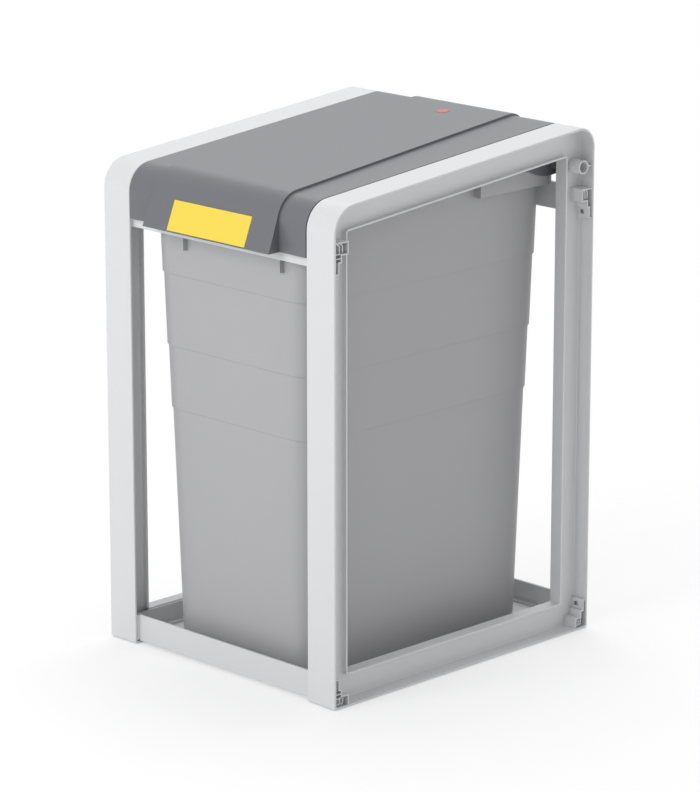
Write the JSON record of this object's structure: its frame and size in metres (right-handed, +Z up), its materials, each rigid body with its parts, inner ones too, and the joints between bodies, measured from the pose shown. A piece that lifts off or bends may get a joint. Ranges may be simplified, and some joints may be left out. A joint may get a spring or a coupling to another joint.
{
  "type": "pull out bin frame",
  "caption": "Open-sided waste bin module with ring side frames, a hinged lid with a front grip and a lift-out tapered bin.",
  "frame": {"origin": "centre of the footprint on the floor", "axes": "+X to the right seen from the front, +Y to the rear where the lid is hinged, +Z up"},
  "size_m": [0.3696, 0.4338, 0.601],
  "materials": {
    "frame_plastic": "fine satin, light grey",
    "tray_plastic": "fine satin, light grey",
    "clip_plastic": "satin, grey",
    "pin_plastic": "satin, grey",
    "soft_rubber": "matt, dark grey",
    "lid_plastic": "fine grain, dark grey",
    "label_plastic": "satin, yellow",
    "badge_plastic": "plain disc",
    "bin_plastic": "satin, grey"
  },
  "bodies": {
    "frame": {"side_frame_left": "frame_plastic", "side_frame_right": "frame_plastic", "base_tray": "tray_plastic", "front_crossbar": "frame_plastic", "rear_crossbar": "frame_plastic", "hinge_pin_left": "pin_plastic", "hinge_pin_right": "pin_plastic", "lid_buffer_left": "soft_rubber", "lid_buffer_right": "soft_rubber", "lock_clip_top_front_left": "clip_plastic", "lock_clip_top_front_right": "clip_plastic", "lock_clip_top_rear_left": "clip_plastic", "lock_clip_top_rear_right": "clip_plastic", "lock_clip_base_front_left": "clip_plastic", "lock_clip_base_front_right": "clip_plastic", "lock_clip_base_rear_left": "clip_plastic", "lock_clip_base_rear_right": "clip_plastic", "foot_pad_front_left": "soft_rubber", "foot_pad_front_right": "soft_rubber", "foot_pad_rear_left": "soft_rubber", "foot_pad_rear_right": "soft_rubber"},
    "lid": {"lid_shell": "lid_plastic", "label_plate": "label_plastic", "lid_badge": "badge_plastic"},
    "bin": {"inner_bin": "bin_plastic"}
  },
  "joints": [
    {"name": "lid_hinge", "type": "hinge", "parent": "frame", "child": "lid", "pos_m": [0, 0.199, 0.5526], "axis": [-1, 0, 0], "range_deg": [0, 95]},
    {"name": "bin_lift", "type": "slide", "parent": "frame", "child": "bin", "axis": [0, 0, 1], "range_m": [0, 0.005]}
  ]
}
